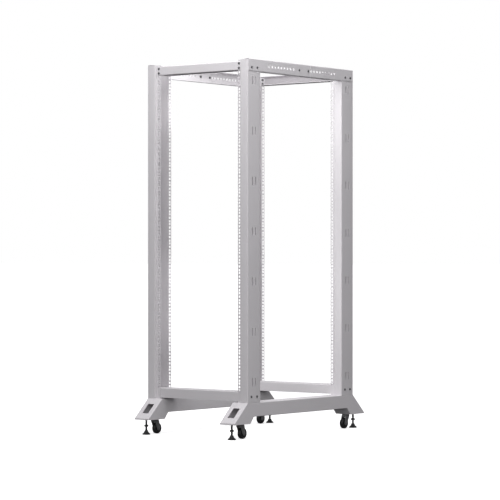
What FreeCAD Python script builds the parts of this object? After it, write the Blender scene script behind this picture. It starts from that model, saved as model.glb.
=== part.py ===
import FreeCAD, Part
import math
import os

# Four post open frame server rack, in millimetres.
# X runs across the rack, Y from front to back, Z up from the floor.
# The origin is on the floor under the middle of the rack.

Vector = FreeCAD.Vector

# Rack-mount standard
RACK_UNIT = 44.45            # height of one rack unit
UNITS = 32                   # units between the lowest and highest hole
HOLE_STEP = 15.875           # wide step between square holes; the third step takes what is left
HOLE_SIDE = 9.5              # square hole for a cage nut
HOLE_INSET = 7.55            # from a strip's free edge to the middle of its holes
BAY_WIDTH = 450.0            # clear width between the posts

# Overall frame
RACK_WIDTH = 580.0           # over the posts' outer webs
RACK_DEPTH = 800.0           # over the posts' front and rear faces
FIRST_UNIT_LIFT = 46.3       # from the base members up to the lowest unit
HEADROOM = 47.3              # from the highest unit up to the posts' ends
SHEET = 2.0                  # sheet of posts and beams
BEND = 2.0                   # inside radius of a folded edge

# Posts
POST_DEPTH = 92.0            # front to back over the two flanges
STRIP_WIDTH = 21.0           # perforated strip along each flange's free edge
OUTER_RECESS = 13.0          # strip set back on the flange that faces out of the rack
INNER_RECESS = 3.0           # strip set back on the flange that faces into the rack
POST_FOOT_PLATE = 3.0        # plate that closes the post's lower end
SLOT_HEIGHT = 37.0           # cable tie slots in the web
SLOT_WIDTH = 6.0
SLOT_SPACING = 22.0          # between the two slots of a pair
SLOT_EVERY = 5               # units from one pair of slots to the next

# Top beams, across the rack
TOP_BEAM_HEIGHT = 41.0
TOP_BEAM_FLANGE = 60.0       # depth of its two flanges
TOP_BEAM_DROP = 5.0          # below the posts' upper ends
BEAM_END_GAP = 2.0           # from a beam's end to the post's bend

# Side beams, along the top of each side
SIDE_BEAM_HEIGHT = 56.0
SIDE_BEAM_FLANGE = 25.0
SIDE_BEAM_END_INSET = 5.0    # short of the posts' outer faces
SIDE_HOLE_SIDE = 9.5         # square holes along its middle
SIDE_HOLE_PITCH = 22.5
SIDE_ROW_START = 3           # pitches from the middle to the first hole of a row
SIDE_ROW_COUNT = 9
SIDE_JOINT_BACK = 58.0       # where the front half ends, behind the middle
TONGUE_REACH = 262.0         # how far the rear half reaches in front of the middle
JOGGLE = 6.0                 # length of the step from the rear half to its tongue
TONGUE_BEND = 1.0            # inside radius of the tongue's folds
HALF_GAP = 1.0               # from the front half's end to the joggle
FLANGE_NOTCH = 3.0           # from a post to the cut-back lower flange

# Bottom cross beams, between the posts
BOTTOM_BEAM_HEIGHT = 44.0
BOTTOM_BEAM_LIFT = 5.0       # above the base members
BOTTOM_BEAM_GAP = 0.5        # to each of the post's flanges

# Base members, one under each side
BASE_TOP_Z = 160.0
BASE_WIDTH = 85.0
BASE_BAR_HEIGHT = 62.0
BASE_SHEET = 3.0
BASE_FOLD = 3.0              # outside radius along its long edges
FOOT_REACH = 92.0            # splayed foot, beyond the post's outer face
FOOT_BOTTOM_Z = 68.0
FOOT_FLAT = 112.0            # length of the foot's level underside
TOE_LIP = 6.0                # upright lip at the foot's toe
FOOT_RISE_RUN = 25.0         # run of the slope from the flat up to the bar
WINDOW_WIDTH = 36.0          # window in the sloped end
WINDOW_LENGTH = 59.0

# Casters
CASTER_FROM_TOE = 92.0
RACE_HEIGHT = 3.0            # fixed race under the foot
WHEEL_DIAMETER = 50.0
WHEEL_WIDTH = 18.0
WHEEL_FLOOR_GAP = 0.5        # the rack stands on its levelling feet
TRAIL = 14.0                 # wheel axle behind the swivel axis
FORK_SHEET = 2.0
FORK_SIDE_GAP = 1.5          # wheel to fork cheek
SWIVEL_DIAMETER = 34.0
SWIVEL_GAP = 0.5             # between the race and the fork
KINGPIN_DIAMETER = 10.0
KINGPIN_NUT_ACROSS = 17.0
KINGPIN_NUT_HEIGHT = 3.0
KINGPIN_NUT_GAP = 0.3        # above the foot's sheet
AXLE_DIAMETER = 6.0
AXLE_HEAD_ACROSS = 10.0      # bolt head at one end, nut at the other
AXLE_HEAD_HEIGHT = 2.0
FORK_TOP_HALF = 11.0         # half the cheek's length under the swivel
FORK_TIP_HALF = 8.0          # half its length beside the axle
FORK_TIP_CHAMFER = 5.0
TREAD_CHAMFER = 2.0          # along both edges of the wheel's tread
RUNNING_CLEARANCE = 0.05     # radial, shaft in bore

# Levelling feet
LEVELLER_FROM_TOE = 33.0
STEM_DIAMETER = 10.0
PAD_DIAMETER = 36.0
PAD_HEIGHT = 14.0
NUT_ACROSS = 17.0            # locknut, and the nut welded inside the foot
NUT_HEIGHT = 8.0
NUT_Z = 36.0                 # underside of the locknut
PAD_NECK_DIAMETER = 15.0
PAD_RIM = 4.0
SOCKET_Z = 6.0               # floor of the pad's socket for the stem
STEM_ABOVE = 15.0            # stem above the foot's underside

WEB_X = RACK_WIDTH / 2
FACE_Y = RACK_DEPTH / 2
STRIP_EDGE_X = BAY_WIDTH / 2
STRIP_BEND_X = STRIP_EDGE_X + STRIP_WIDTH
OUTER_STRIP_Y = FACE_Y - OUTER_RECESS
POST_INNER_Y = FACE_Y - POST_DEPTH
INNER_STRIP_Y = POST_INNER_Y + INNER_RECESS
POST_MIDDLE_Y = FACE_Y - POST_DEPTH / 2
FIRST_UNIT_Z = BASE_TOP_Z + FIRST_UNIT_LIFT
POST_TOP_Z = FIRST_UNIT_Z + UNITS * RACK_UNIT + HEADROOM
RACK_HEIGHT = POST_TOP_Z + BEND + SHEET
TOP_BEAM_TOP_Z = POST_TOP_Z - TOP_BEAM_DROP
TOP_BEAM_BOTTOM_Z = TOP_BEAM_TOP_Z - TOP_BEAM_HEIGHT
SIDE_BEAM_BOTTOM_Z = RACK_HEIGHT - SIDE_BEAM_HEIGHT
SIDE_BEAM_MIDDLE_Z = RACK_HEIGHT - SIDE_BEAM_HEIGHT / 2
BOTTOM_BEAM_Z = BASE_TOP_Z + BOTTOM_BEAM_LIFT
BASE_MIDDLE_X = WEB_X - BASE_WIDTH / 2
TOE_Y = FACE_Y + FOOT_REACH
CASTER_Y = TOE_Y - CASTER_FROM_TOE
LEVELLER_Y = TOE_Y - LEVELLER_FROM_TOE
BAR_BOTTOM_Z = BASE_TOP_Z - BASE_BAR_HEIGHT
BAR_END_Y = TOE_Y - FOOT_FLAT - FOOT_RISE_RUN
FOOT_FLOOR_Z = FOOT_BOTTOM_Z + BASE_SHEET
AXLE_Z = WHEEL_DIAMETER / 2 + WHEEL_FLOOR_GAP
RACE_BOTTOM_Z = FOOT_BOTTOM_Z - RACE_HEIGHT
FORK_TOP_Z = RACE_BOTTOM_Z - SWIVEL_GAP
CHEEK_INNER = WHEEL_WIDTH / 2 + FORK_SIDE_GAP
CHEEK_OUTER = CHEEK_INNER + FORK_SHEET


# Shapes from flat outlines. An outline is a list of (u, v) points.
def corner_cut(before, here, after, radius):
    """Start, middle and end of the arc that rounds one corner."""
    to_before = (before - here).normalize()
    to_after = (after - here).normalize()
    half = to_before.getAngle(to_after) / 2
    bisector = (to_before + to_after).normalize()
    reach = radius / math.tan(half)
    centre = here + bisector * (radius / math.sin(half))
    return here + to_before * reach, centre - bisector * radius, here + to_after * reach


def outline_face(points, radii=None):
    """Face inside an outline, its corners rounded where a radius isn't 0."""
    corners = [Vector(u, v, 0) for u, v in points]
    radii = radii or [0] * len(corners)
    edges = []
    last = None
    first = None
    for index, here in enumerate(corners):
        start = end = here
        if radii[index] > 0:
            before = corners[index - 1]
            after = corners[(index + 1) % len(corners)]
            start, middle, end = corner_cut(before, here, after, radii[index])
        if last is None:
            first = start
        else:
            edges.append(Part.makeLine(last, start))
        if radii[index] > 0:
            edges.append(Part.Arc(start, middle, end).toShape())
        last = end
    edges.append(Part.makeLine(last, first))
    return Part.Face(Part.Wire(edges))


def shifted(points, distance, closed=False):
    """The outline moved to its left by a distance, with mitred corners."""
    corners = [Vector(u, v, 0) for u, v in points]
    count = len(corners)
    moved = []
    for index, here in enumerate(corners):
        normals = []
        if closed or index > 0:
            along = (here - corners[index - 1]).normalize()
            normals.append(Vector(-along.y, along.x, 0))
        if closed or index < count - 1:
            along = (corners[(index + 1) % count] - here).normalize()
            normals.append(Vector(-along.y, along.x, 0))
        total = normals[0] + normals[-1]
        place = here + total * (distance / (1 + normals[0].dot(normals[-1])))
        moved.append((place.x, place.y))
    return moved


def folded_face(path, thickness, bend):
    """Section of a folded sheet: the path is its outer face, with the sheet to the left."""
    inner = shifted(path, thickness)
    path_radii = [0] * len(path)
    inner_radii = [0] * len(path)
    for index in range(1, len(path) - 1):
        before, here, after = path[index - 1:index + 2]
        turn = ((here[0] - before[0]) * (after[1] - here[1])
                - (here[1] - before[1]) * (after[0] - here[0]))
        path_radii[index] = bend + thickness if turn > 0 else bend
        inner_radii[index] = bend if turn > 0 else bend + thickness
    return outline_face(path + inner[::-1], path_radii + inner_radii[::-1])


def prism(face, axis, low, high):
    """A flat outline drawn across an axis and drawn out between two places along it."""
    solid = face.extrude(Vector(0, 0, high - low))
    if axis == "x":
        solid.rotate(Vector(), Vector(1, 1, 1), 120)
        solid.translate(Vector(low, 0, 0))
    elif axis == "y":
        solid.rotate(Vector(), Vector(1, 0, 0), 90)
        solid.translate(Vector(0, high, 0))
    else:
        solid.translate(Vector(0, 0, low))
    return solid


def box(x_limits, y_limits, z_limits):
    """Box between three pairs of limits."""
    sizes = [high - low for low, high in (x_limits, y_limits, z_limits)]
    return Part.makeBox(*sizes, Vector(x_limits[0], y_limits[0], z_limits[0]))


def rod(diameter, start, reach):
    """Round bar from a point along a vector."""
    return Part.makeCylinder(diameter / 2, reach.Length, start, reach)


def hexagon(across, axis, low, high):
    """Hexagonal prism on an axis through the origin, by its width across flats."""
    corner = across / math.sqrt(3)
    turns = [math.radians(60 * step) for step in range(6)]
    face = outline_face([(corner * math.cos(turn), corner * math.sin(turn)) for turn in turns])
    return prism(face, axis, low, high)


def turned(points, place):
    """Solid turned about an upright axis at a place, from (radius, height) points."""
    face = outline_face(points)
    face.rotate(Vector(), Vector(1, 0, 0), 90)
    solid = face.revolve(Vector(), Vector(0, 0, 1), 360)
    solid.translate(place)
    return solid


def cut(solid, tools):
    """The solid with every tool taken out."""
    return solid.cut(Part.makeCompound(tools))


def around(middle, spacing):
    """Two places at equal distances from a middle."""
    return (middle - spacing / 2, middle + spacing / 2)


def mirrored(shape, side, end):
    """A front right piece carried to its own corner by mirroring."""
    if side == "left":
        shape = shape.mirror(Vector(), Vector(1, 0, 0))
    if end == "rear":
        shape = shape.mirror(Vector(), Vector(0, 1, 0))
    return shape


def write(name, shape):
    """One STEP file for one piece."""
    shape.exportStep("parts/" + name + ".step")


# Posts. Each is a folded channel, open towards the middle of the rack.
def strip_hole_heights():
    """Middle height of every square hole in one column."""
    lowest = (RACK_UNIT - 2 * HOLE_STEP) / 2
    return [FIRST_UNIT_Z + unit * RACK_UNIT + lowest + step * HOLE_STEP
            for unit in range(UNITS) for step in range(3)]


def post_section():
    """Outer face of the channel: strip, step, front, web, rear, step and strip."""
    return [
        (STRIP_EDGE_X, -OUTER_STRIP_Y),
        (STRIP_BEND_X, -OUTER_STRIP_Y),
        (STRIP_BEND_X, -FACE_Y),
        (WEB_X, -FACE_Y),
        (WEB_X, -POST_INNER_Y),
        (STRIP_BEND_X + INNER_RECESS, -POST_INNER_Y),
        (STRIP_BEND_X, -INNER_STRIP_Y),
        (STRIP_EDGE_X, -INNER_STRIP_Y),
    ]


def strip_holes():
    """Square holes for cage nuts in the strip that faces out of the rack."""
    across = around(STRIP_EDGE_X + HOLE_INSET, HOLE_SIDE)
    through = around(-OUTER_STRIP_Y + SHEET / 2, 2 * SHEET)
    return [box(across, through, around(z, HOLE_SIDE)) for z in strip_hole_heights()]


def web_slots():
    """Pairs of upright slots for cable ties, every few units."""
    slots = []
    for unit in range(1, UNITS, SLOT_EVERY):
        heights = around(FIRST_UNIT_Z + unit * RACK_UNIT, SLOT_HEIGHT)
        for y in around(-POST_MIDDLE_Y, SLOT_SPACING):
            slots.append(box(around(WEB_X, 4 * SHEET), around(y, SLOT_WIDTH), heights))
    return slots


def post():
    """Front right post, seamed where the top beam's face starts to cover its strip."""
    section = folded_face(post_section(), SHEET, BEND)
    channel = prism(section.copy(), "z", BASE_TOP_Z, TOP_BEAM_BOTTOM_Z)
    channel = channel.fuse(prism(section, "z", TOP_BEAM_BOTTOM_Z, POST_TOP_Z))
    plate = box(
        (STRIP_EDGE_X, WEB_X - SHEET),
        (-OUTER_STRIP_Y + SHEET, -INNER_STRIP_Y - SHEET),
        (BASE_TOP_Z, BASE_TOP_Z + POST_FOOT_PLATE),
    )
    return cut(channel.fuse(plate), strip_holes() + web_slots())


# Top beams. Each is a channel set in the recess of the posts' outer strips.
def top_beam():
    """Front beam: its face lies on the strips, its flanges reach in between the posts."""
    face_y = -OUTER_STRIP_Y - SHEET
    path = [
        (face_y + TOP_BEAM_FLANGE, TOP_BEAM_TOP_Z),
        (face_y, TOP_BEAM_TOP_Z),
        (face_y, TOP_BEAM_BOTTOM_Z),
        (face_y + TOP_BEAM_FLANGE, TOP_BEAM_BOTTOM_Z),
    ]
    half = STRIP_BEND_X - BEND - BEAM_END_GAP
    beam = prism(folded_face(path, SHEET, BEND), "x", -half, half)
    tools = []
    for side in (-1, 1):
        ends = sorted((side * (STRIP_EDGE_X - BEAM_END_GAP), side * (half + 1)))
        behind = (-OUTER_STRIP_Y, face_y + TOP_BEAM_FLANGE + 1)
        tools.append(box(ends, behind, (TOP_BEAM_BOTTOM_Z - 1, TOP_BEAM_TOP_Z + 1)))
    return cut(beam, tools)


# Side beams. Each is two overlapping channels outside the posts' webs.
def side_section(inset, bend):
    """Channel open to the inside, drawn in by an inset on every side."""
    outer_x = WEB_X + SHEET - inset
    inner_x = WEB_X + SHEET - SIDE_BEAM_FLANGE
    low = SIDE_BEAM_BOTTOM_Z + inset
    top = RACK_HEIGHT - inset
    path = [(inner_x, low), (outer_x, low), (outer_x, top), (inner_x, top)]
    return folded_face(path, SHEET, bend)


def row_of_holes(direction):
    """One half's row of square holes, from near the middle towards its own end."""
    through = around(WEB_X, 4 * SHEET)
    heights = around(SIDE_BEAM_MIDDLE_Z, SIDE_HOLE_SIDE)
    steps = range(SIDE_ROW_START, SIDE_ROW_START + SIDE_ROW_COUNT)
    return [box(through, around(direction * step * SIDE_HOLE_PITCH, SIDE_HOLE_SIDE), heights)
            for step in steps]


def flange_notch(end):
    """Tool that cuts the lower flange back, so that it passes the post."""
    notch = sorted((end * (POST_INNER_Y - FLANGE_NOTCH), end * (FACE_Y + 1)))
    below = (SIDE_BEAM_BOTTOM_Z - 1, SIDE_BEAM_MIDDLE_Z)
    return box((WEB_X - SIDE_BEAM_FLANGE, WEB_X), notch, below)


def side_beam_front():
    """Front half of the right side beam, which covers the rear half's tongue."""
    start = -FACE_Y + SIDE_BEAM_END_INSET
    beam = prism(side_section(0, BEND), "y", start, SIDE_JOINT_BACK)
    return cut(beam, row_of_holes(-1) + [flange_notch(-1)])


def side_beam_rear():
    """Rear half of the right side beam, stepped in to a tongue inside the front half."""
    step_front = SIDE_JOINT_BACK + HALF_GAP
    step_back = step_front + JOGGLE
    outer = prism(side_section(0, BEND), "y", step_back, FACE_Y - SIDE_BEAM_END_INSET)
    tongue = prism(side_section(SHEET, TONGUE_BEND), "y", -TONGUE_REACH, step_front)
    wires = []
    for inset, bend, y in ((0, BEND, step_back), (SHEET, TONGUE_BEND, step_front)):
        section = side_section(inset, bend)
        section.rotate(Vector(), Vector(1, 0, 0), 90)
        section.translate(Vector(0, y, 0))
        wires.append(section.OuterWire)
    joggle = Part.makeLoft(wires, True, True)
    beam = outer.fuse([joggle, tongue])
    return cut(beam, row_of_holes(-1) + row_of_holes(1) + [flange_notch(1)])


# Bottom cross beams. Each is a channel between the posts' webs, open underneath.
def bottom_beam():
    """Front beam, with a plate in each end that is screwed to the post's web."""
    front = -OUTER_STRIP_Y + SHEET + BOTTOM_BEAM_GAP
    back = -INNER_STRIP_Y - SHEET - BOTTOM_BEAM_GAP
    top = BOTTOM_BEAM_Z + BOTTOM_BEAM_HEIGHT
    path = [(back, BOTTOM_BEAM_Z), (back, top), (front, top), (front, BOTTOM_BEAM_Z)]
    half = WEB_X - SHEET
    beam = prism(folded_face(path, SHEET, BEND), "x", -half, half)
    within = (front + SHEET / 2, back - SHEET / 2)
    for ends in ((-half, -half + SHEET), (half - SHEET, half)):
        beam = beam.fuse(box(ends, within, (BOTTOM_BEAM_Z, top - SHEET / 2)))
    return beam


# Base members. Each is a long hollow folding with a splayed foot at both ends.
def base_outline():
    """Side view of the member, clockwise from the front toe."""
    front = [
        (-TOE_Y, FOOT_BOTTOM_Z),
        (-TOE_Y, FOOT_BOTTOM_Z + TOE_LIP),
        (-FACE_Y, BASE_TOP_Z),
    ]
    under = [
        (-BAR_END_Y, BAR_BOTTOM_Z),
        (-TOE_Y + FOOT_FLAT, FOOT_BOTTOM_Z),
    ]
    rear = [(-y, z) for y, z in front[::-1] + under[::-1]]
    return front + rear + under


def long_edges(solid):
    """The folded edges along the top and down the slopes, on both sides."""
    limits = (WEB_X - BASE_WIDTH, WEB_X)
    chosen = []
    for edge in solid.Edges:
        x_values = [vertex.X for vertex in edge.Vertexes]
        lowest = min(vertex.Z for vertex in edge.Vertexes)
        flat = max(x_values) - min(x_values) < 0.01
        on_side = min(abs(x_values[0] - limit) for limit in limits) < 0.01
        if flat and on_side and lowest > FOOT_BOTTOM_Z + TOE_LIP / 2:
            if edge.Length > BASE_WIDTH:
                chosen.append(edge)
    return chosen


def window_tool():
    """Tool for the window in the front slope."""
    rise = BASE_TOP_Z - FOOT_BOTTOM_Z - TOE_LIP
    tool = box(around(0, WINDOW_WIDTH), around(0, WINDOW_LENGTH), around(0, 6 * BASE_SHEET))
    tool.rotate(Vector(), Vector(1, 0, 0), math.degrees(math.atan2(rise, FOOT_REACH)))
    tool.translate(Vector(BASE_MIDDLE_X, -FACE_Y - FOOT_REACH / 2, BASE_TOP_Z - rise / 2))
    return tool


def base_member():
    """Right member, with the levelling feet's nuts and the casters' fixed races."""
    outline = base_outline()
    member = prism(outline_face(outline), "x", WEB_X - BASE_WIDTH, WEB_X)
    member = member.makeFillet(BASE_FOLD, long_edges(member))
    inside = (WEB_X - BASE_WIDTH + BASE_SHEET, WEB_X - BASE_SHEET)
    hollow = prism(outline_face(shifted(outline, -BASE_SHEET, closed=True)), "x", *inside)
    open_bar = box(inside, (-BAR_END_Y, BAR_END_Y), (BAR_BOTTOM_Z - 1, BAR_BOTTOM_Z + 2 * BASE_SHEET))
    member = member.cut([hollow, open_bar])
    tools = [window_tool(), mirrored(window_tool(), "right", "rear")]
    for end in (-1, 1):
        nut = hexagon(NUT_ACROSS, "z", FOOT_FLOOR_Z, FOOT_FLOOR_Z + NUT_HEIGHT)
        nut.translate(Vector(BASE_MIDDLE_X, end * LEVELLER_Y, 0))
        race = Vector(BASE_MIDDLE_X, end * CASTER_Y, RACE_BOTTOM_Z)
        member = member.fuse([nut, rod(SWIVEL_DIAMETER, race, Vector(0, 0, RACE_HEIGHT))])
        through = Vector(0, 0, FOOT_FLOOR_Z + NUT_HEIGHT - RACE_BOTTOM_Z)
        stem = Vector(BASE_MIDDLE_X, end * LEVELLER_Y, RACE_BOTTOM_Z)
        tools.append(rod(STEM_DIAMETER + 2 * RUNNING_CLEARANCE, stem, through))
        tools.append(rod(KINGPIN_DIAMETER + 2 * RUNNING_CLEARANCE, race, through))
    return cut(member, tools)


# Casters. Each swivels on a kingpin in its race, and its wheel turns on an axle.
def caster_cheek():
    """Outline of the fork's cheek, tapering down to the axle."""
    low = AXLE_Z - FORK_TIP_HALF
    top = FORK_TOP_Z - FORK_SHEET / 2
    axle_y = -CASTER_Y + TRAIL
    return outline_face([
        (-CASTER_Y - FORK_TOP_HALF, top),
        (axle_y - FORK_TIP_HALF, low + FORK_TIP_CHAMFER),
        (axle_y - FORK_TIP_HALF + FORK_TIP_CHAMFER, low),
        (axle_y + FORK_TIP_HALF - FORK_TIP_CHAMFER, low),
        (axle_y + FORK_TIP_HALF, low + FORK_TIP_CHAMFER),
        (-CASTER_Y + FORK_TOP_HALF, top),
    ])


def caster_fork():
    """Swivelling fork: disc, two cheeks, kingpin with its nut, and the axle bolt."""
    head = CHEEK_OUTER + AXLE_HEAD_HEIGHT
    nut_z = FOOT_FLOOR_Z + KINGPIN_NUT_GAP
    disc = Vector(0, 0, FORK_TOP_Z - FORK_SHEET)
    swivel = [
        rod(SWIVEL_DIAMETER, disc, Vector(0, 0, FORK_SHEET)),
        rod(KINGPIN_DIAMETER, disc, Vector(0, 0, nut_z) - disc),
        hexagon(KINGPIN_NUT_ACROSS, "z", nut_z, nut_z + KINGPIN_NUT_HEIGHT),
    ]
    axle = [
        rod(AXLE_DIAMETER, Vector(-CHEEK_OUTER, 0, 0), Vector(2 * CHEEK_OUTER, 0, 0)),
        hexagon(AXLE_HEAD_ACROSS, "x", -head, -CHEEK_OUTER),
        hexagon(AXLE_HEAD_ACROSS, "x", CHEEK_OUTER, head),
    ]
    for piece in swivel:
        piece.translate(Vector(BASE_MIDDLE_X, -CASTER_Y, 0))
    for piece in axle:
        piece.translate(Vector(BASE_MIDDLE_X, -CASTER_Y + TRAIL, AXLE_Z))
    fork = prism(caster_cheek(), "x", BASE_MIDDLE_X + CHEEK_INNER, BASE_MIDDLE_X + CHEEK_OUTER)
    other = prism(caster_cheek(), "x", BASE_MIDDLE_X - CHEEK_OUTER, BASE_MIDDLE_X - CHEEK_INNER)
    return fork.fuse([other] + swivel + axle)


def caster_wheel():
    """Moulded wheel with a chamfered tread and a bore for the axle."""
    half = WHEEL_WIDTH / 2
    radius = WHEEL_DIAMETER / 2
    bore = AXLE_DIAMETER / 2 + RUNNING_CLEARANCE
    side = [(bore, half), (radius - TREAD_CHAMFER, half), (radius, half - TREAD_CHAMFER)]
    other_side = [(r, -h) for r, h in side[::-1]]
    wheel = turned(side + other_side, Vector())
    wheel.rotate(Vector(), Vector(0, 1, 0), 90)
    wheel.translate(Vector(BASE_MIDDLE_X, -CASTER_Y + TRAIL, AXLE_Z))
    return wheel


# Levelling feet. Each is a bell-shaped pad on a threaded stem.
def leveller_stem():
    """Stem with its locknut, from the pad's socket up through the foot's nut."""
    length = FOOT_BOTTOM_Z + STEM_ABOVE - SOCKET_Z
    stem = rod(STEM_DIAMETER, Vector(0, 0, SOCKET_Z), Vector(0, 0, length))
    stem = stem.fuse(hexagon(NUT_ACROSS, "z", NUT_Z, NUT_Z + NUT_HEIGHT))
    stem.translate(Vector(BASE_MIDDLE_X, -LEVELLER_Y, 0))
    return stem


def leveller_pad():
    """Bell-shaped pad, with a socket for the stem's end."""
    radius = PAD_DIAMETER / 2
    neck = PAD_NECK_DIAMETER / 2
    socket = STEM_DIAMETER / 2 + RUNNING_CLEARANCE
    outline = [
        (0, 0),
        (radius, 0),
        (radius, PAD_RIM),
        (neck, PAD_HEIGHT),
        (socket, PAD_HEIGHT),
        (socket, SOCKET_Z),
        (0, SOCKET_Z),
    ]
    return turned(outline, Vector(BASE_MIDDLE_X, -LEVELLER_Y, 0))


# Every piece in its place. Front right pieces are mirrored to the other corners.
os.makedirs("parts", exist_ok=True)

corner_pieces = {
    "post": post(),
    "caster_fork": caster_fork(),
    "caster_wheel": caster_wheel(),
    "leveller_stem": leveller_stem(),
    "leveller_pad": leveller_pad(),
}
for name, piece in corner_pieces.items():
    for end in ("front", "rear"):
        for side in ("left", "right"):
            write(name + "_" + end + "_" + side, mirrored(piece, side, end))

side_pieces = {
    "side_beam_front": side_beam_front(),
    "side_beam_rear": side_beam_rear(),
    "base_member": base_member(),
}
for name, piece in side_pieces.items():
    for side in ("left", "right"):
        write(name + "_" + side, mirrored(piece, side, "front"))

end_pieces = {
    "top_beam": top_beam(),
    "bottom_beam": bottom_beam(),
}
for name, piece in end_pieces.items():
    for end in ("front", "rear"):
        write(name + "_" + end, mirrored(piece, "right", end))
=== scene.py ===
import math

import bpy
from mathutils import Matrix, Vector


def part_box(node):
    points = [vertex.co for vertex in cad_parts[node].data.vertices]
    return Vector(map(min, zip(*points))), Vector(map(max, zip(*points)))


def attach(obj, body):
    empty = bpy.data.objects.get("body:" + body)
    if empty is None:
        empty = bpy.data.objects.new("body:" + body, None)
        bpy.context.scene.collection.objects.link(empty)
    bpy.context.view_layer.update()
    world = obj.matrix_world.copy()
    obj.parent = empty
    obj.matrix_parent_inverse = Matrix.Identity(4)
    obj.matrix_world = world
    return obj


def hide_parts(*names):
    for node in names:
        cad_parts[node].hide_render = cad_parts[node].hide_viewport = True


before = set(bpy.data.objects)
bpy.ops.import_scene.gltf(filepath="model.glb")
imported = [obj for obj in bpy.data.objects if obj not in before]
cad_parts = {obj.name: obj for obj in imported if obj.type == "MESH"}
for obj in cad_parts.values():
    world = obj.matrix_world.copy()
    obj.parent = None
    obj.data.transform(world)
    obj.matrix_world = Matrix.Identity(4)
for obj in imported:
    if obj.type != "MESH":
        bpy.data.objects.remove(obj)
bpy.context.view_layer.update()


# Base members. Each is 3 mm steel folded into a long hollow bar with a splayed foot at both
# ends and a window in each slope. They are powder coated pale grey, like the whole frame, and
# everything else is bolted to them.
class Level:
    """A shader socket that can be added and multiplied, each time with one more Math node."""

    def __init__(self, finish, socket):
        self.finish = finish
        self.socket = socket

    def maths(self, operation, first, second):
        return self.finish.node("ShaderNodeMath", {"operation": operation}, {0: first, 1: second})

    def __add__(self, other):
        return self.maths("ADD", self, other)

    def __mul__(self, other):
        return self.maths("MULTIPLY", self, other)

    __radd__ = __add__
    __rmul__ = __mul__


class Finish:
    """A material under construction."""

    def __init__(self, name):
        self.material = bpy.data.materials.new(name)
        self.material.use_nodes = True
        self.nodes = self.material.node_tree.nodes
        self.links = self.material.node_tree.links
        self.nodes.clear()

    def node(self, kind, settings=None, values=None, output=0):
        """One node: its settings first, then the values or links of its sockets."""
        made = self.nodes.new(kind)
        for name, setting in (settings or {}).items():
            setattr(made, name, setting)
        for socket, value in (values or {}).items():
            if isinstance(value, Level):
                self.links.new(value.socket, made.inputs[socket])
            else:
                made.inputs[socket].default_value = value
        return Level(self, made.outputs[output]) if made.outputs else made

    def noise(self, scale, detail=2.0, roughness=0.5):
        """Noise that is fixed to the piece, with its scale in waves for each metre."""
        place = self.node("ShaderNodeTexCoord", output="Object")
        values = {"Vector": place, "Scale": scale, "Detail": detail, "Roughness": roughness}
        return self.node("ShaderNodeTexNoise", {}, values)

    def blend(self, factor, first, second):
        """One colour passing into another."""
        values = {0: factor, 6: (*first, 1), 7: (*second, 1)}
        return self.node("ShaderNodeMix", {"data_type": "RGBA"}, values, output=2)

    def bump(self, height, distance, strength=1.0):
        """Surface relief of a depth in metres."""
        values = {"Height": height, "Distance": distance, "Strength": strength}
        return self.node("ShaderNodeBump", {}, values)

    def surface(self, **values):
        """The shader itself, with underscores in the names of its sockets."""
        named = {name.replace("_", " "): value for name, value in values.items()}
        shader = self.node("ShaderNodeBsdfPrincipled", {}, named)
        self.node("ShaderNodeOutputMaterial", {}, {"Surface": shader})
        return self.material


def make_powder_coat():
    """Pale grey polyester powder: a fine orange peel, and a very slight cloud in its tone."""
    finish = Finish("pale_grey_powder_coat")
    cloud = finish.noise(5.0)
    peel = finish.noise(420.0, 3.0, 0.6)
    grain = finish.noise(1500.0, 1.0)
    return finish.surface(
        Base_Color=finish.blend(cloud, (0.592, 0.573, 0.593), (0.648, 0.627, 0.649)),
        Roughness=cloud * 0.08 + grain * 0.06 + 0.38,
        Normal=finish.bump(peel + grain * 0.3, 0.00012, 0.8),
    )


def clothe(node, material):
    """Gives a CAD node its finish."""
    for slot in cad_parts[node].material_slots:
        slot.material = material


powder_coat = make_powder_coat()
for side in ("left", "right"):
    clothe("base_member_" + side, powder_coat)


# Levelling feet. Each is a black bell-shaped pad moulded round the end of a threaded steel
# stem, with a locknut. The stem screws into a nut welded inside the base member's foot.
corners = [(end, side) for end in ("front", "rear") for side in ("left", "right")]
SAME_POINT = 0.000002
ROUND_ANGLE = 32
EDGE_BREAK = 0.0004
NUT_FLAT_SHARE = 0.95
NUT_CORNER_SLOPE = 0.6


def alone(piece):
    """Selects one piece and nothing else."""
    bpy.ops.object.select_all(action="DESELECT")
    piece.select_set(True)
    bpy.context.view_layer.objects.active = piece


def started(name):
    """The primitive just added, named and with its place in its mesh."""
    piece = bpy.context.object
    piece.name = piece.data.name = name
    bpy.ops.object.transform_apply(location=True, rotation=True, scale=True)
    return piece


def traced(name, points):
    """A line of edges through points, drawn out from one vertex. It is left in edit mode."""
    bpy.ops.object.select_all(action="DESELECT")
    bpy.ops.mesh.primitive_plane_add(size=0.001, location=points[0])
    piece = started(name)
    bpy.ops.object.mode_set(mode="EDIT")
    bpy.ops.mesh.select_mode(type="VERT")
    bpy.ops.mesh.select_all(action="SELECT")
    bpy.ops.mesh.merge(type="CENTER")
    for here, there in zip(points, points[1:]):
        step = Vector(there) - Vector(here)
        bpy.ops.mesh.extrude_vertices_move(TRANSFORM_OT_translate={"value": step})
    bpy.ops.mesh.select_all(action="SELECT")
    return piece


def tidied(piece, angle=ROUND_ANGLE):
    """Merges doubles, turns faces outwards, leaves edit mode and shades what is round."""
    bpy.ops.mesh.select_all(action="SELECT")
    bpy.ops.mesh.remove_doubles(threshold=SAME_POINT)
    bpy.ops.mesh.normals_make_consistent(inside=False)
    bpy.ops.object.mode_set(mode="OBJECT")
    alone(piece)
    bpy.ops.object.shade_smooth_by_angle(angle=math.radians(angle))
    return piece


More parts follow.
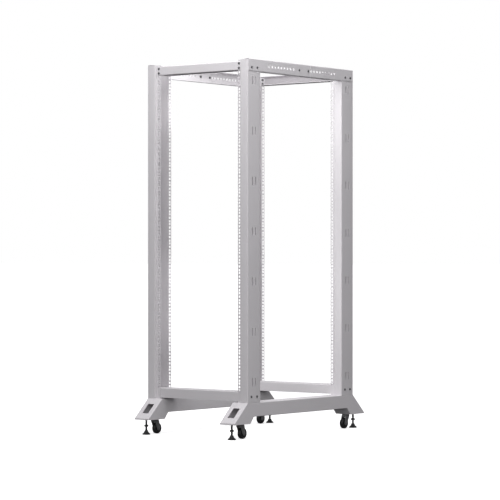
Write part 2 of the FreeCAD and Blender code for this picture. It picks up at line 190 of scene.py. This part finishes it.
def turned(name, outline, steps=48, axis="z"):
    """A solid turned about an axis through the origin, from (radius, height) points."""
    if axis == "z":
        points = [(radius, 0, height) for radius, height in outline]
    else:
        points = [(height, 0, radius) for radius, height in outline]
    piece = traced(name, points)
    around = (0, 0, 1) if axis == "z" else (1, 0, 0)
    bpy.ops.mesh.spin(steps=steps, angle=2 * math.pi, center=(0, 0, 0), axis=around)
    return tidied(piece)


def changed(piece, kind, **settings):
    """Adds a modifier with its settings and applies it."""
    modifier = piece.modifiers.new(kind.lower(), kind)
    for name, setting in settings.items():
        setattr(modifier, name, setting)
    alone(piece)
    bpy.ops.object.modifier_apply(modifier=modifier.name)
    return piece


def carved(piece, tool, operation="DIFFERENCE"):
    """Cuts a tool out of a piece, or keeps what both share, and throws the tool away."""
    changed(piece, "BOOLEAN", operation=operation, solver="EXACT", object=tool)
    bpy.data.objects.remove(tool)
    return piece


def joined(name, pieces):
    """Several solids as one piece."""
    alone(pieces[0])
    for piece in pieces:
        piece.select_set(True)
    bpy.ops.object.join()
    pieces[0].name = pieces[0].data.name = name
    return pieces[0]


def copied(piece, name, matrix):
    """A copy with its own mesh, carried by a matrix, its faces turned back if mirrored."""
    copy = piece.copy()
    copy.data = piece.data.copy()
    copy.name = copy.data.name = name
    bpy.context.collection.objects.link(copy)
    copy.data.transform(matrix)
    if matrix.determinant() < 0:
        copy.data.flip_normals()
    return copy


def hex_nut(name, across, thickness, low):
    """Hexagonal nut on the Z axis with the points of its corners turned off at both ends."""
    corner = across / math.sqrt(3)
    bpy.ops.object.select_all(action="DESELECT")
    bpy.ops.mesh.primitive_cylinder_add(
        vertices=6, radius=corner, depth=thickness, location=(0, 0, low + thickness / 2))
    nut = started(name)
    flat = across / 2 * NUT_FLAT_SHARE
    drop = (corner - flat) * NUT_CORNER_SLOPE
    high = low + thickness
    turning = turned("turning", [
        (0, low), (flat, low), (corner + 0.0001, low + drop),
        (corner + 0.0001, high - drop), (flat, high), (0, high)])
    return carved(nut, turning, "INTERSECT")


def make_moulded(name, colour, roughness):
    """Black moulding: a fine sparked texture and slightly uneven gloss."""
    finish = Finish(name)
    spark = finish.noise(1200.0, 2.0)
    cloud = finish.noise(60.0)
    return finish.surface(
        Base_Color=finish.blend(cloud, colour, [level * 1.5 for level in colour]),
        Roughness=cloud * 0.14 + spark * 0.08 + roughness,
        Normal=finish.bump(spark, 0.00008),
    )


def make_steel(name, dark, worn, metallic):
    """Steel with a dull chemical or zinc finish, worn slightly brighter in places."""
    finish = Finish(name)
    cloud = finish.noise(90.0, 4.0, 0.6)
    grain = finish.noise(900.0)
    return finish.surface(
        Base_Color=finish.blend(cloud, dark, worn),
        Metallic=metallic,
        Roughness=cloud * 0.16 + grain * 0.08 + 0.30,
        Normal=finish.bump(grain, 0.00005),
    )


pad_low, pad_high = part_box("leveller_pad_front_right")
stem_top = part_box("leveller_stem_front_right")[1].z
PAD_RADIUS = (pad_high.x - pad_low.x) / 2
PAD_HEIGHT = pad_high.z
NECK_HEIGHT = PAD_HEIGHT + 0.0055
STEM_RADIUS = 0.005
THREAD_PITCH = 0.0015
THREAD_DEPTH = 0.0009
THREAD_IN_PAD = 0.002
LOCKNUT_ACROSS = 0.017
LOCKNUT_LOW = 0.036
LOCKNUT_THICK = 0.008

# The pad's section, from the floor out round the rim and up the bell to the neck.
foot_pad = turned("foot_pad", [
    (0, 0),
    (PAD_RADIUS - 0.0006, 0),
    (PAD_RADIUS, 0.0006),
    (PAD_RADIUS, 0.0044),
    (PAD_RADIUS - 0.0008, 0.0056),
    (PAD_RADIUS - 0.0034, 0.0072),
    (PAD_RADIUS - 0.0062, 0.0096),
    (PAD_RADIUS - 0.0082, 0.0124),
    (PAD_RADIUS - 0.0094, 0.0156),
    (PAD_RADIUS - 0.0099, NECK_HEIGHT - 0.0006),
    (PAD_RADIUS - 0.0104, NECK_HEIGHT),
    (STEM_RADIUS + 0.0003, NECK_HEIGHT),
    (STEM_RADIUS + 0.0001, NECK_HEIGHT - 0.0006),
    (0, NECK_HEIGHT - 0.0006),
], 64)

# One pitch of the thread, from root up to crest and back to root, screwed round the axis.
turns = int((stem_top - PAD_HEIGHT + THREAD_IN_PAD) / THREAD_PITCH)
thread_low = stem_top - (turns + 1) * THREAD_PITCH
root = STEM_RADIUS - THREAD_DEPTH
foot_stem = traced("foot_stem", [
    (root, 0, thread_low),
    (root, 0, thread_low + THREAD_PITCH * 0.15),
    (STEM_RADIUS, 0, thread_low + THREAD_PITCH * 0.45),
    (STEM_RADIUS, 0, thread_low + THREAD_PITCH * 0.60),
    (root, 0, thread_low + THREAD_PITCH * 0.90),
    (root, 0, thread_low + THREAD_PITCH),
])
bpy.ops.object.mode_set(mode="OBJECT")
changed(foot_stem, "SCREW", screw_offset=THREAD_PITCH, iterations=turns, steps=24,
        render_steps=24, use_merge_vertices=True, merge_threshold=SAME_POINT)
alone(foot_stem)
bpy.ops.object.mode_set(mode="EDIT")
bpy.ops.mesh.select_all(action="SELECT")
bpy.ops.mesh.remove_doubles(threshold=SAME_POINT)
bpy.ops.mesh.select_all(action="DESELECT")
bpy.ops.mesh.select_non_manifold()
bpy.ops.mesh.fill_holes(sides=0)
tidied(foot_stem)
locknut = hex_nut("locknut", LOCKNUT_ACROSS, LOCKNUT_THICK, LOCKNUT_LOW)
foot_stem = joined("foot_stem", [foot_stem, locknut])

moulded_pad = make_moulded("moulded_black_nylon", (0.016, 0.016, 0.017), 0.42)
blackened_steel = make_steel(
    "blackened_steel", dark=(0.012, 0.012, 0.013), worn=(0.026, 0.026, 0.028), metallic=0.3)
foot_pad.data.materials.append(moulded_pad)
foot_stem.data.materials.append(blackened_steel)
for end, side in corners:
    here = end + "_" + side
    low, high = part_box("leveller_pad_" + here)
    place = Matrix.Translation(((low.x + high.x) / 2, (low.y + high.y) / 2, 0))
    for master, node, slot in ((foot_pad, "leveller_pad_", "pad_plastic"),
                               (foot_stem, "leveller_stem_", "dark_steel")):
        piece = copied(master, master.name + "_" + here, place)
        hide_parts(node + here)
        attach(piece, "leveller_" + here)
for master in (foot_pad, foot_stem):
    bpy.data.objects.remove(master)


# Casters. A pressed steel fork with a round crown swivels on a ball race under the foot, held
# by a kingpin. A black nylon wheel with moulded ribs turns on a bolt through its cheeks.
def extruded(name, outline, reach):
    """A closed outline of (x, y, z) points drawn out to a solid."""
    piece = traced(name, outline + [outline[0]])
    bpy.ops.mesh.remove_doubles(threshold=SAME_POINT)
    bpy.ops.mesh.edge_face_add()
    bpy.ops.mesh.extrude_region_move(TRANSFORM_OT_translate={"value": reach})
    return tidied(piece)


def arc(centre, radius, start, end, steps):
    """Points round a centre in a plane, from one angle in degrees to another."""
    turns = [math.radians(start + (end - start) * step / steps) for step in range(steps + 1)]
    return [(centre[0] + radius * math.cos(turn), centre[1] + radius * math.sin(turn))
            for turn in turns]


def block(name, centre, size):
    """A rectangular block."""
    bpy.ops.object.select_all(action="DESELECT")
    bpy.ops.mesh.primitive_cube_add(size=1, location=centre, scale=size)
    return started(name)


def select_edges(piece, wanted):
    """Selects, in edit mode, the edges that pass a test of their two ends."""
    bpy.ops.mesh.select_mode(type="EDGE")
    bpy.ops.mesh.select_all(action="DESELECT")
    bpy.ops.object.mode_set(mode="OBJECT")
    points = piece.data.vertices
    for edge in piece.data.edges:
        edge.select = wanted(*[points[index].co for index in edge.vertices])
    bpy.ops.object.mode_set(mode="EDIT")


wheel_low, wheel_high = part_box("caster_wheel_front_right")
fork_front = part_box("caster_fork_front_right")[0].y
caster_x = (wheel_low.x + wheel_high.x) / 2
AXLE_Y = (wheel_low.y + wheel_high.y) / 2
AXLE_Z = (wheel_low.z + wheel_high.z) / 2
WHEEL_RADIUS = (wheel_high.z - wheel_low.z) / 2
WHEEL_HALF = (wheel_high.x - wheel_low.x) / 2
SWIVEL_RADIUS = 0.017
SWIVEL_Y = fork_front + SWIVEL_RADIUS
RACE_LOW = 0.065
RACE_BORE_RADIUS = 0.0055
FOOT_UNDERSIDE = 0.068
FORK_TOP = RACE_LOW - 0.0005
CHEEK_OUTER = WHEEL_HALF + 0.0035
SKIRT_LOW = AXLE_Z + WHEEL_RADIUS + 0.0015
FORK_SHEET = 0.002
FORK_BEND = 0.004
CUP_DEPTH = 0.0015
CUP_FLAT_RADIUS = 0.0125
CHEEK_FRONT = 0.0150
CHEEK_REAR = 0.0155
TIP_RADIUS = 0.0105
BLANK_MARGIN = 0.02
BLANK_LENGTH = 0.06
KINGPIN_RADIUS = 0.005
KINGPIN_TOP = 0.0715
KINGPIN_NUT_ACROSS = 0.017
KINGPIN_NUT_THICK = 0.003
KINGPIN_NUT_LOW = 0.0713
AXLE_RADIUS = 0.003
AXLE_HEAD_ACROSS = 0.010
AXLE_HEAD_THICK = 0.002
RIBS = 6
RIB_SIZE = (0.0028, 0.0018, 0.0112)
RIB_INSET = 0.0024
RIB_RADIUS = 0.013

# Half of the wheel's section, from the bore out over hub, web and rim to the tread.
side_face = [
    (0.00305, WHEEL_HALF),
    (0.0072, WHEEL_HALF),
    (0.0078, WHEEL_HALF - 0.0006),
    (0.0082, WHEEL_HALF - 0.0035),
    (0.0180, WHEEL_HALF - 0.0035),
    (0.0184, WHEEL_HALF - 0.0008),
    (0.0192, WHEEL_HALF),
    (WHEEL_RADIUS - 0.0045, WHEEL_HALF),
    (WHEEL_RADIUS - 0.0020, WHEEL_HALF - 0.0007),
    (WHEEL_RADIUS - 0.0006, WHEEL_HALF - 0.0022),
    (WHEEL_RADIUS, WHEEL_HALF - 0.0045),
]
rim = side_face + [(radius, -height) for radius, height in side_face[::-1]]
wheel = turned("caster_tyre", rim + [rim[0]], 72, "x")
ribs = []
for face in (-1, 1):
    for step in range(RIBS):
        rib = block("rib", (face * (WHEEL_HALF - RIB_INSET), 0, RIB_RADIUS), RIB_SIZE)
        changed(rib, "BEVEL", width=EDGE_BREAK, segments=2)
        rib.data.transform(Matrix.Rotation(2 * math.pi * step / RIBS, 4, "X"))
        ribs.append(rib)
wheel = joined("caster_tyre", [wheel] + ribs)

# The fork's strap is bent from a wide blank, then trimmed to the cheeks' side view.
cheek_top = FORK_TOP - CUP_DEPTH
blank_front = SWIVEL_Y - BLANK_MARGIN
blank_low = AXLE_Z - BLANK_MARGIN
strap = traced("caster_yoke", [
    (-CHEEK_OUTER, blank_front, blank_low),
    (-CHEEK_OUTER, blank_front, cheek_top),
    (CHEEK_OUTER, blank_front, cheek_top),
    (CHEEK_OUTER, blank_front, blank_low),
])
bpy.ops.mesh.extrude_region_move(TRANSFORM_OT_translate={"value": (0, BLANK_LENGTH, 0)})
select_edges(strap, lambda a, b: min(a.z, b.z) > cheek_top - 0.0001 and abs(a.y - b.y) > 0.01)
bpy.ops.mesh.bevel(offset=FORK_BEND, offset_type="OFFSET", segments=6, affect="EDGES")
tidied(strap)
if max(strap.data.polygons, key=lambda face: face.center.z).normal.z < 0:
    strap.data.flip_normals()
changed(strap, "SOLIDIFY", thickness=FORK_SHEET, offset=-1, use_even_offset=True)
tip = arc((AXLE_Y, AXLE_Z), TIP_RADIUS, 200, 350, 14)
above = cheek_top + 0.001
side_view = [(SWIVEL_Y - CHEEK_FRONT, above)] + tip + [(SWIVEL_Y + CHEEK_REAR, above)]
side_view = [(-BLANK_MARGIN, y, z) for y, z in side_view]
carved(strap, extruded("side_view", side_view, (2 * BLANK_MARGIN, 0, 0)), "INTERSECT")
changed(strap, "BEVEL", width=EDGE_BREAK, segments=2, limit_method="ANGLE",
        angle_limit=math.radians(50))
cup = turned("swivel_cup", [
    (0, cheek_top - 0.0005),
    (CUP_FLAT_RADIUS, cheek_top - 0.0005),
    (SWIVEL_RADIUS - 0.0008, FORK_TOP - 0.0019),
    (SWIVEL_RADIUS, FORK_TOP - 0.0013),
    (SWIVEL_RADIUS, FORK_TOP - 0.0004),
    (SWIVEL_RADIUS - 0.0005, FORK_TOP),
    (0, FORK_TOP),
], 56)
skirt = turned("crown_skirt", [
    (SWIVEL_RADIUS - 0.0014, SKIRT_LOW),
    (SWIVEL_RADIUS - 0.0002, SKIRT_LOW + 0.0002),
    (SWIVEL_RADIUS - 0.0002, FORK_TOP - 0.0030),
    (SWIVEL_RADIUS - 0.0010, FORK_TOP - 0.0016),
    (SWIVEL_RADIUS - 0.0026, FORK_TOP - 0.0016),
    (SWIVEL_RADIUS - 0.0018, FORK_TOP - 0.0034),
    (SWIVEL_RADIUS - 0.0018, SKIRT_LOW + 0.0002),
    (SWIVEL_RADIUS - 0.0014, SKIRT_LOW),
], 56)
kingpin = turned("kingpin", [
    (0, FORK_TOP - 0.001),
    (KINGPIN_RADIUS, FORK_TOP - 0.001),
    (KINGPIN_RADIUS, KINGPIN_TOP),
    (0, KINGPIN_TOP),
], 32)
kingpin_nut = hex_nut("kingpin_nut", KINGPIN_NUT_ACROSS, KINGPIN_NUT_THICK, KINGPIN_NUT_LOW)
rivet = turned("kingpin_rivet", [
    (0, cheek_top - 0.0038),
    (0.0026, cheek_top - 0.0036),
    (0.0052, cheek_top - 0.0029),
    (0.0062, cheek_top - 0.0020),
    (0.0062, cheek_top - 0.0010),
    (0, cheek_top - 0.0010),
], 36)
for upright in (cup, skirt, kingpin, kingpin_nut, rivet):
    upright.data.transform(Matrix.Translation((0, SWIVEL_Y, 0)))
bolt = [turned("axle", [
    (0, -CHEEK_OUTER),
    (AXLE_RADIUS, -CHEEK_OUTER),
    (AXLE_RADIUS, CHEEK_OUTER),
    (0, CHEEK_OUTER),
], 32, "x")]
for face in (-1, 1):
    head = hex_nut("axle_head", AXLE_HEAD_ACROSS, AXLE_HEAD_THICK, 0)
    outward = Matrix.Rotation(face * math.pi / 2, 4, "Y")
    head.data.transform(Matrix.Translation((face * CHEEK_OUTER, 0, 0)) @ outward)
    bolt.append(head)
for part in bolt:
    part.data.transform(Matrix.Translation((0, AXLE_Y, AXLE_Z)))
yoke = joined("caster_yoke", [strap, cup, skirt, kingpin, kingpin_nut, rivet] + bolt)
alone(yoke)
bpy.ops.object.shade_smooth_by_angle(angle=math.radians(ROUND_ANGLE))

race = turned("caster_race", [
    (RACE_BORE_RADIUS, RACE_LOW - 0.0001),
    (SWIVEL_RADIUS - 0.0004, RACE_LOW - 0.0001),
    (SWIVEL_RADIUS + 0.0004, RACE_LOW + 0.0007),
    (SWIVEL_RADIUS + 0.0006, RACE_LOW + 0.0016),
    (SWIVEL_RADIUS + 0.0022, FOOT_UNDERSIDE - 0.0009),
    (SWIVEL_RADIUS + 0.0022, FOOT_UNDERSIDE - 0.0001),
    (RACE_BORE_RADIUS, FOOT_UNDERSIDE - 0.0001),
    (RACE_BORE_RADIUS, RACE_LOW - 0.0001),
], 56)
race.data.transform(Matrix.Translation((0, SWIVEL_Y, 0)))

wheel.data.transform(Matrix.Translation((0, AXLE_Y, AXLE_Z)))
moulded_wheel = make_moulded("moulded_black_wheel", (0.010, 0.010, 0.011), 0.34)
fork_steel = make_steel(
    "fork_steel", dark=(0.135, 0.134, 0.138), worn=(0.205, 0.203, 0.208), metallic=0.35)
wheel.data.materials.append(moulded_wheel)
yoke.data.materials.append(fork_steel)
race.data.materials.append(fork_steel)
for end, side in corners:
    here = end + "_" + side
    flip = Matrix.Diagonal((1, 1 if end == "front" else -1, 1, 1))
    place = Matrix.Translation((caster_x if side == "right" else -caster_x, 0, 0)) @ flip
    tyre_here = copied(wheel, "caster_tyre_" + here, place)
    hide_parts("caster_wheel_" + here)
    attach(tyre_here, "wheel_" + here)
    yoke_here = copied(yoke, "caster_yoke_" + here, place)
    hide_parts("caster_fork_" + here)
    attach(yoke_here, "swivel_" + here)
    race_here = copied(race, "caster_race_" + here, place)
    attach(race_here, "frame")
for master in (wheel, yoke, race):
    bpy.data.objects.remove(master)


# Posts. Each is 2 mm sheet folded to a channel that is open towards the middle of the rack.
# A strip along each free edge has square holes for cage nuts, punched before folding, and the
# web has pairs of round-ended slots for cable ties. A plate welded in the foot carries it.
def repeated(piece, count, step):
    """A row of the same piece."""
    return changed(piece, "ARRAY", count=count, use_relative_offset=False,
                   use_constant_offset=True, constant_offset_displace=step)


post_low, post_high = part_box("post_front_right")
SHEET = 0.002
BEND = 0.002
STRIP_WIDTH = 0.021
OUTER_RECESS = 0.013
INNER_RECESS = 0.003
FOOT_PLATE = 0.003
RACK_UNIT = 0.04445
UNITS = 32
HOLE_STEP = 0.015875
HOLE_SIDE = 0.0095
HOLE_INSET = 0.00755
FIRST_UNIT_LIFT = 0.0463
FIRST_UNIT = post_low.z + FIRST_UNIT_LIFT
SLOT_HEIGHT = 0.037
SLOT_WIDTH = 0.006
SLOT_SPACING = 0.022
SLOT_EVERY = 5
PUNCH_REACH = 0.1
SLOT_PUNCH_REACH = 0.01
FOLD_ANGLE = 20

# The channel is drawn in plan, raised, and every fold is rounded before it gets its thickness.
strip_bend = post_low.x + STRIP_WIDTH
strip_y = post_low.y + OUTER_RECESS
path = [
    (post_low.x, strip_y),
    (strip_bend, strip_y),
    (strip_bend, post_low.y),
    (post_high.x, post_low.y),
    (post_high.x, post_high.y),
    (strip_bend + INNER_RECESS, post_high.y),
    (strip_bend, post_high.y - INNER_RECESS),
    (post_low.x, post_high.y - INNER_RECESS),
]
post = traced("folded_post", [(x, y, post_low.z) for x, y in path])
rise = (0, 0, post_high.z - post_low.z)
bpy.ops.mesh.extrude_region_move(TRANSFORM_OT_translate={"value": rise})
for before, here, after in zip(path, path[1:], path[2:]):
    into = Vector(here) - Vector(before)
    out = Vector(after) - Vector(here)
    turn = into.angle_signed(out)
    radius = BEND if turn > 0 else BEND + SHEET
    corner = Vector((*here, 0))
    select_edges(post, lambda a, b: max(
        (a.xy - corner.xy).length, (b.xy - corner.xy).length) < 0.0001)
    bpy.ops.mesh.bevel(offset=radius * math.tan(abs(turn) / 2), offset_type="OFFSET",
                       segments=5, affect="EDGES")
tidied(post, FOLD_ANGLE)
if max(post.data.polygons, key=lambda face: face.center.x).normal.x < 0:
    post.data.flip_normals()
changed(post, "SOLIDIFY", thickness=SHEET, offset=-1, use_even_offset=True)

# Three square holes to a unit, through both strips at once.
post_middle_y = (post_low.y + post_high.y) / 2
lowest = FIRST_UNIT + (RACK_UNIT - 2 * HOLE_STEP) / 2
punch = block("punch", (post_low.x + HOLE_INSET, post_middle_y, lowest),
              (HOLE_SIDE, PUNCH_REACH, HOLE_SIDE))
repeated(punch, 3, (0, 0, HOLE_STEP))
repeated(punch, UNITS, (0, 0, RACK_UNIT))
carved(post, punch)

# A pair of slots in the web at every fifth unit.
slot_y = (post_low.y + post_high.y - SLOT_SPACING) / 2
punch = block("punch", (post_high.x, slot_y, FIRST_UNIT + RACK_UNIT),
              (SLOT_PUNCH_REACH, SLOT_WIDTH, SLOT_HEIGHT))
bpy.ops.object.mode_set(mode="EDIT")
select_edges(punch, lambda a, b: abs(a.x - b.x) > 0.001)
bpy.ops.mesh.bevel(
    offset=SLOT_WIDTH / 2 - 0.00002, offset_type="OFFSET", segments=7, affect="EDGES")
tidied(punch)
repeated(punch, 2, (0, SLOT_SPACING, 0))
repeated(punch, (UNITS - 2) // SLOT_EVERY + 1, (0, 0, SLOT_EVERY * RACK_UNIT))
carved(post, punch)

plate_y = (strip_y + post_high.y - INNER_RECESS) / 2
plate_length = post_high.y - INNER_RECESS - strip_y - 2 * SHEET
plate = block(
    "foot_plate", ((post_low.x + post_high.x - SHEET) / 2, plate_y, post_low.z + FOOT_PLATE / 2),
    (post_high.x - post_low.x - SHEET, plate_length, FOOT_PLATE))
changed(plate, "BEVEL", width=0.0005, segments=2)
post = joined("folded_post", [post, plate])
alone(post)
bpy.ops.object.shade_smooth_by_angle(angle=math.radians(FOLD_ANGLE))
post.data.materials.append(powder_coat)
for end, side in corners:
    here = end + "_" + side
    place = Matrix.Diagonal((1 if side == "right" else -1, 1 if end == "front" else -1, 1, 1))
    piece = copied(post, "folded_post_" + here, place)
    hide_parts("post_" + here)
    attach(piece, "frame")
bpy.data.objects.remove(post)


# Bottom cross beams. Each is a 2 mm channel, open underneath, between the posts' webs, with a
# plate welded in each end. Two socket screws through each web hold it, with nuts inside.
HEAD_RADIUS = 0.0057
HEAD_SEAT_RADIUS = 0.0054
HEAD_EDGE = 0.0003
DOME_LOW = 0.0009
DOME_RISE = 0.0025
HEAD_HEIGHT = 0.0034
SOCKET_ACROSS = 0.0040
SOCKET_REACH = 0.0040
SOCKET_FLOOR = 0.0014
NUT_ACROSS = 0.010
NUT_THICK = 0.005


def make_screw():
    """Head of a button-head socket screw along +Z, seated at the origin."""
    angles = [math.radians(turn) for turn in (0, 18, 36, 52, 66, 78)]
    dome = [(HEAD_RADIUS * math.cos(turn), DOME_LOW + DOME_RISE * math.sin(turn))
            for turn in angles]
    seat = [(0, 0), (HEAD_SEAT_RADIUS, 0), (HEAD_RADIUS, HEAD_EDGE)]
    head = turned("screw", seat + dome + [(0, HEAD_HEIGHT)], 40)
    return carved(head, hex_nut("socket", SOCKET_ACROSS, SOCKET_REACH, SOCKET_FLOOR))


def fixed(name, seats, master):
    """One piece of all the like fixings of a beam, from (seat, outward) pairs."""
    copies = []
    for seat, outward in seats:
        turn = Vector((0, 0, 1)).rotation_difference(Vector(outward)).to_matrix().to_4x4()
        copies.append(copied(master, name, Matrix.Translation(seat) @ turn))
    piece = joined(name, copies)
    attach(piece, "frame")


screw = make_screw()
dull_zinc = make_steel(
    "dull_zinc", dark=(0.095, 0.095, 0.100), worn=(0.150, 0.150, 0.156), metallic=0.4)
screw.data.materials.append(dull_zinc)
nut = hex_nut("nut", NUT_ACROSS, NUT_THICK, 0)
nut.data.materials.append(dull_zinc)
WEB_SCREW_SPACING = 0.040
for end in ("front", "rear"):
    clothe("bottom_beam_" + end, powder_coat)
    low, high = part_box("bottom_beam_" + end)
    mirror = 1 if end == "front" else -1
    heads = []
    nuts = []
    for x_sign in (-1, 1):
        for y in (post_middle_y - WEB_SCREW_SPACING / 2, post_middle_y + WEB_SCREW_SPACING / 2):
            z = (low.z + high.z) / 2
            heads.append(((x_sign * post_high.x, mirror * y, z), (x_sign, 0, 0)))
            nuts.append(((x_sign * (high.x - SHEET), mirror * y, z), (-x_sign, 0, 0)))
    fixed("bottom_beam_screws_" + end, heads, screw)
    fixed("bottom_beam_nuts_" + end, nuts, nut)


# Top beams. Each is a 2 mm channel whose face lies on the posts' outer strips, held by two
# socket screws one above the other at each end. The front one's face is left plain.
TOP_SCREW_SPACING = 0.020
for end in ("front", "rear"):
    clothe("top_beam_" + end, powder_coat)
    low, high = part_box("top_beam_" + end)
    y_sign = -1 if end == "front" else 1
    face_y = low.y if end == "front" else high.y
    heads = []
    nuts = []
    for x_sign in (-1, 1):
        x = x_sign * (post_low.x + HOLE_INSET)
        for step in (-TOP_SCREW_SPACING, TOP_SCREW_SPACING):
            z = (low.z + high.z + step) / 2
            heads.append(((x, face_y, z), (0, y_sign, 0)))
            nuts.append(((x, face_y - y_sign * 2 * SHEET, z), (0, -y_sign, 0)))
    fixed("top_beam_screws_" + end, heads, screw)
    fixed("top_beam_nuts_" + end, nuts, nut)


# Side beams. Each is two 2 mm channels: the rear half is stepped in to a tongue that slides
# inside the front half, and two socket screws clamp them at the chosen depth. Two more screws
# hold each end to its post's web.
END_SCREW_DROP = 0.010
END_SCREW_SPACING = 0.040
END_SCREW_MIDDLE = 0.046
JOINT_SCREWS = (-0.024, 0.044)
for side in ("left", "right"):
    for half in ("front", "rear"):
        clothe("side_beam_" + half + "_" + side, powder_coat)
    low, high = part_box("side_beam_front_" + side)
    x_sign = 1 if side == "right" else -1
    outer_x = high.x if side == "right" else low.x
    middle_z = (low.z + high.z) / 2
    heads = []
    nuts = []
    for y_sign in (-1, 1):
        for step in (-0.5, 0.5):
            y = y_sign * (-post_low.y - END_SCREW_MIDDLE + step * END_SCREW_SPACING)
            z = middle_z - END_SCREW_DROP
            heads.append(((outer_x, y, z), (x_sign, 0, 0)))
            nuts.append(((outer_x - x_sign * 2 * SHEET, y, z), (-x_sign, 0, 0)))
    for y in JOINT_SCREWS:
        heads.append(((outer_x, y, middle_z), (x_sign, 0, 0)))
        nuts.append(((outer_x - x_sign * 2 * SHEET, y, middle_z), (-x_sign, 0, 0)))
    fixed("side_beam_screws_" + side, heads, screw)
    fixed("side_beam_nuts_" + side, nuts, nut)
for master in (screw, nut):
    bpy.data.objects.remove(master)


# Studio: a wide white floor, a soft box above the open top, square lights at the right, in
# front and inside, and a surround that is bright above and dim below. The camera is level and
# looks at the front right post.
def make_floor():
    """Pale matt studio floor."""
    finish = Finish("pale_floor")
    return finish.surface(
        Base_Color=(0.9, 0.9, 0.9, 1), Roughness=0.9,
        Emission_Color=(1, 1, 1, 1), Emission_Strength=0.6)


def area_light(name, place, target, size, power):
    """Square soft light that faces a target and is not seen itself."""
    bpy.ops.object.light_add(type="AREA", location=place)
    light = bpy.context.object
    light.name = name
    light.data.size = size
    light.data.energy = power
    light.rotation_euler = (Vector(target) - Vector(place)).to_track_quat("-Z", "Y").to_euler()
    light.visible_camera = False


bpy.ops.object.select_all(action="DESELECT")
bpy.ops.mesh.primitive_plane_add(size=900)
floor = bpy.context.object
floor.name = "studio_floor"
floor.data.materials.append(make_floor())
floor.visible_diffuse = False
floor.visible_glossy = False

area_light("soft_box", (0.35, -0.85, 2.8), (0, 0, 1.0), 1.6, 34)
area_light("side_light", (2.6, -0.4, 2.3), (0, 0, 1.1), 1.4, 8)
area_light("fill_light", (2.8, -4.4, 1.9), (0, 0, 1.1), 2.8, 75)
area_light("inner_light_high", (0, -0.34, 1.6), (0, 0.5, 1.58), 0.4, 2.5)
area_light("inner_light_low", (0, -0.34, 0.6), (0, 0.5, 0.6), 0.4, 1.6)

world = bpy.data.worlds.new("white_surround")
world.use_nodes = True
surround = world.node_tree.nodes
surround.clear()
link = world.node_tree.links.new
direction = surround.new("ShaderNodeTexCoord")
height = surround.new("ShaderNodeSeparateXYZ")
strength = surround.new("ShaderNodeMapRange")
DIM_BELOW, BRIGHT_ABOVE = -0.12, 0.3
DIM_STRENGTH, BRIGHT_STRENGTH = 0.08, 0.6
for name, value in (("From Min", DIM_BELOW), ("From Max", BRIGHT_ABOVE),
                    ("To Min", DIM_STRENGTH), ("To Max", BRIGHT_STRENGTH)):
    strength.inputs[name].default_value = value
lit = surround.new("ShaderNodeBackground")
lit.inputs["Color"].default_value = (0.99, 0.985, 1, 1)
seen = surround.new("ShaderNodeBackground")
seen.inputs["Color"].default_value = (1, 1, 1, 1)
ray = surround.new("ShaderNodeLightPath")
mix = surround.new("ShaderNodeMixShader")
out = surround.new("ShaderNodeOutputWorld")
link(direction.outputs["Generated"], height.inputs[0])
link(height.outputs["Z"], strength.inputs["Value"])
link(strength.outputs[0], lit.inputs["Strength"])
link(ray.outputs["Is Camera Ray"], mix.inputs[0])
link(lit.outputs[0], mix.inputs[1])
link(seen.outputs[0], mix.inputs[2])
link(mix.outputs[0], out.inputs["Surface"])
bpy.context.scene.world = world
bpy.context.scene.view_settings.view_transform = "Standard"

CAMERA_TURN = math.radians(38.05)
bpy.ops.object.camera_add(
    location=(6.2348, -7.979, 0.784), rotation=(math.pi / 2, 0, CAMERA_TURN))
camera = bpy.context.object
camera.name = "camera"
camera.data.sensor_width = 36.0
camera.data.lens = 157.6
camera.data.shift_y = 0.023
camera.data.clip_end = 1000.0
bpy.context.scene.camera = camera
